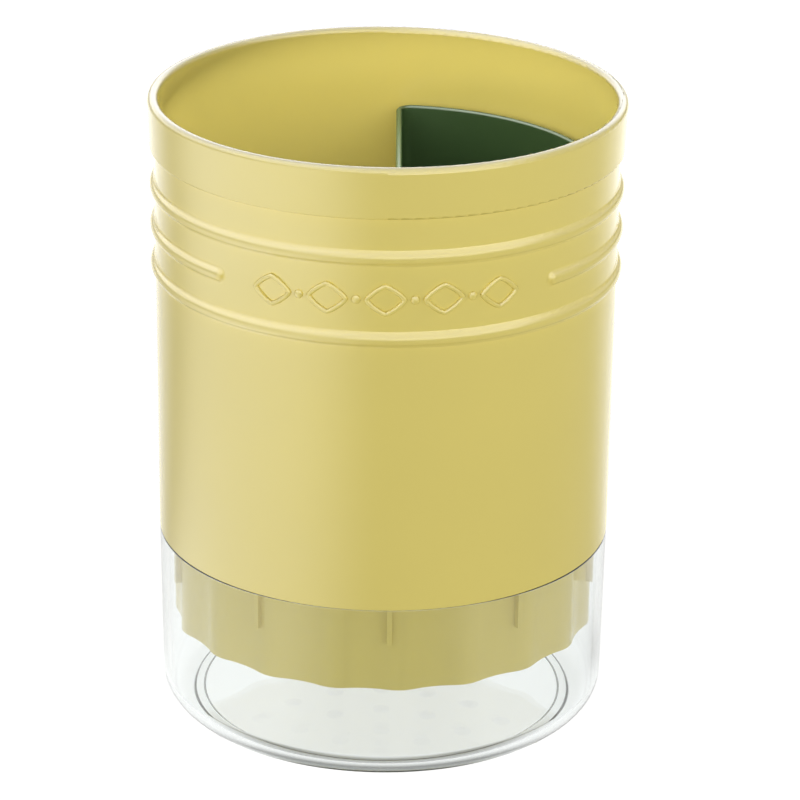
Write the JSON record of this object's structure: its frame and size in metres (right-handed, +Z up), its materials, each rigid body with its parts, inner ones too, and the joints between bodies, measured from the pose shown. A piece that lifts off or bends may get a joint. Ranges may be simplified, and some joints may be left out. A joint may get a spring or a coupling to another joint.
{
  "type": "chopstick holder",
  "caption": "Round ribbed chopstick barrel with a drained floor, standing in a clear drip cup, with a half-round insert inside.",
  "frame": {"origin": "centre of the foot ring, at the level of the table", "axes": "+Z up along the barrel's axis, -Y towards the front where the middle rib is left open, +X towards the insert"},
  "size_m": [0.1182, 0.1182, 0.1614],
  "materials": {
    "clear_plastic": "polished clear",
    "yellow_plastic": "satin, moulded",
    "green_plastic": "satin, moulded"
  },
  "bodies": {
    "drip_cup": {"drip_cup": "clear_plastic"},
    "barrel": {"barrel": "yellow_plastic"},
    "insert": {"insert": "green_plastic"}
  },
  "joints": [
    {"name": "barrel_lift", "type": "slide", "parent": "drip_cup", "child": "barrel", "axis": [0, 0, 1], "range_m": [0, 0.06]},
    {"name": "insert_lift", "type": "slide", "parent": "barrel", "child": "insert", "axis": [0, 0, 1], "range_m": [0, 0.13]}
  ]
}
